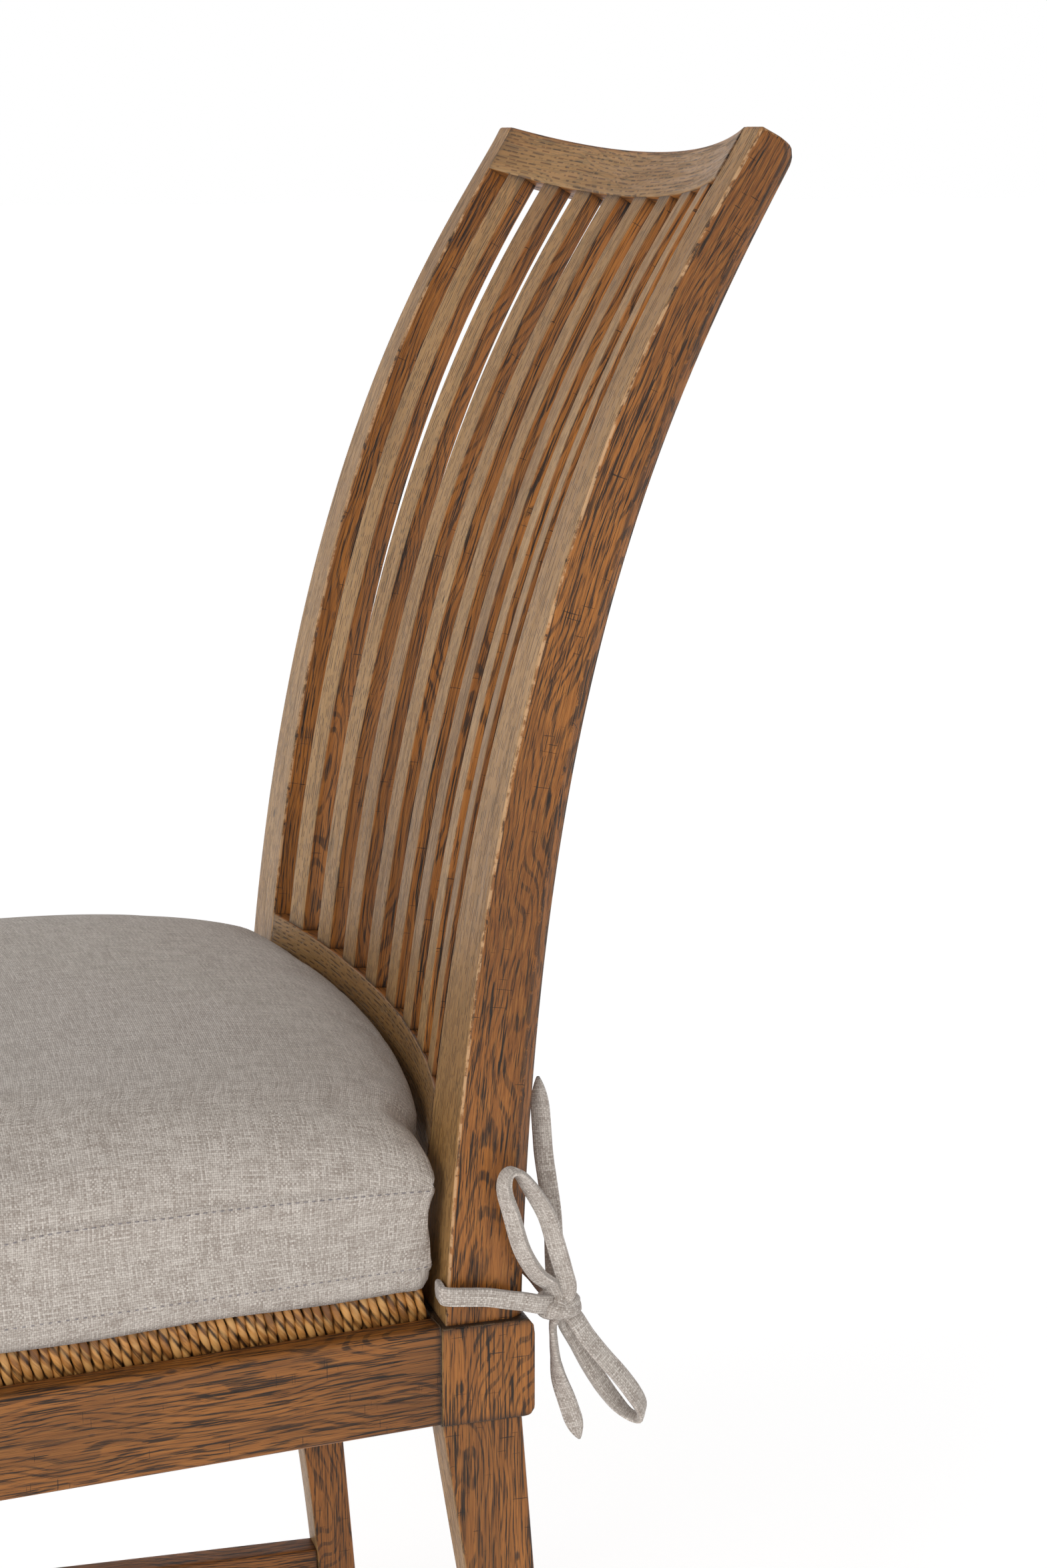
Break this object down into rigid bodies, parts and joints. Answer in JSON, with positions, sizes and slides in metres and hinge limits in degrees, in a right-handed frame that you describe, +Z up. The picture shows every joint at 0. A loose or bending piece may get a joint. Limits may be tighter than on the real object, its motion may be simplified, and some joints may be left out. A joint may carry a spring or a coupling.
{
  "type": "side chair",
  "caption": "Oak side chair with a swept, bowed slatted back, a drop-in woven rush seat and a tied linen box cushion.",
  "frame": {"origin": "centre of the chair's box on the floor", "axes": "+Z up, +X towards a sitter's left, the chair faces -Y"},
  "size_m": [0.5, 0.5908, 1],
  "materials": {
    "oak": "worn satin oak with open pores",
    "pale_wood": "plain sawn hidden wood",
    "rush": "twisted rush cord, woven",
    "linen": "plain-woven linen",
    "foam": "open-cell foam",
    "steel": "plain wood screw",
    "glide_plastic": "moulded dark glide"
  },
  "bodies": {
    "root": {"rear_post_left": "oak", "rear_post_right": "oak", "crest_rail": "oak", "lower_back_rail": "oak", "back_slat_1": "oak", "back_slat_2": "oak", "back_slat_3": "oak", "back_slat_4": "oak", "back_slat_5": "oak", "back_slat_6": "oak", "back_slat_7": "oak", "back_slat_8": "oak", "side_rail_left": "oak", "side_rail_right": "oak", "front_rail": "oak", "rear_rail": "oak", "front_leg_left": "oak", "front_leg_right": "oak", "side_stretcher_left": "oak", "side_stretcher_right": "oak", "cross_stretcher": "oak", "seat_bar_front": "pale_wood", "seat_bar_rear": "pale_wood", "seat_bar_left": "pale_wood", "seat_bar_right": "pale_wood", "rush_top": "rush", "rush_underside": "rush", "corner_block_front_left": "pale_wood", "corner_block_front_right": "pale_wood", "corner_block_rear_left": "pale_wood", "corner_block_rear_right": "pale_wood", "corner_screws": "steel", "cushion_foam": "foam", "cushion_top": "linen", "cushion_boxing": "linen", "cushion_base": "linen", "tie_left_outer": "linen", "tie_left_inner": "linen", "tie_right_outer": "linen", "tie_right_inner": "linen", "tie_knot_left": "linen", "tie_knot_right": "linen", "foot_glides": "glide_plastic"}
  },
  "joints": []
}
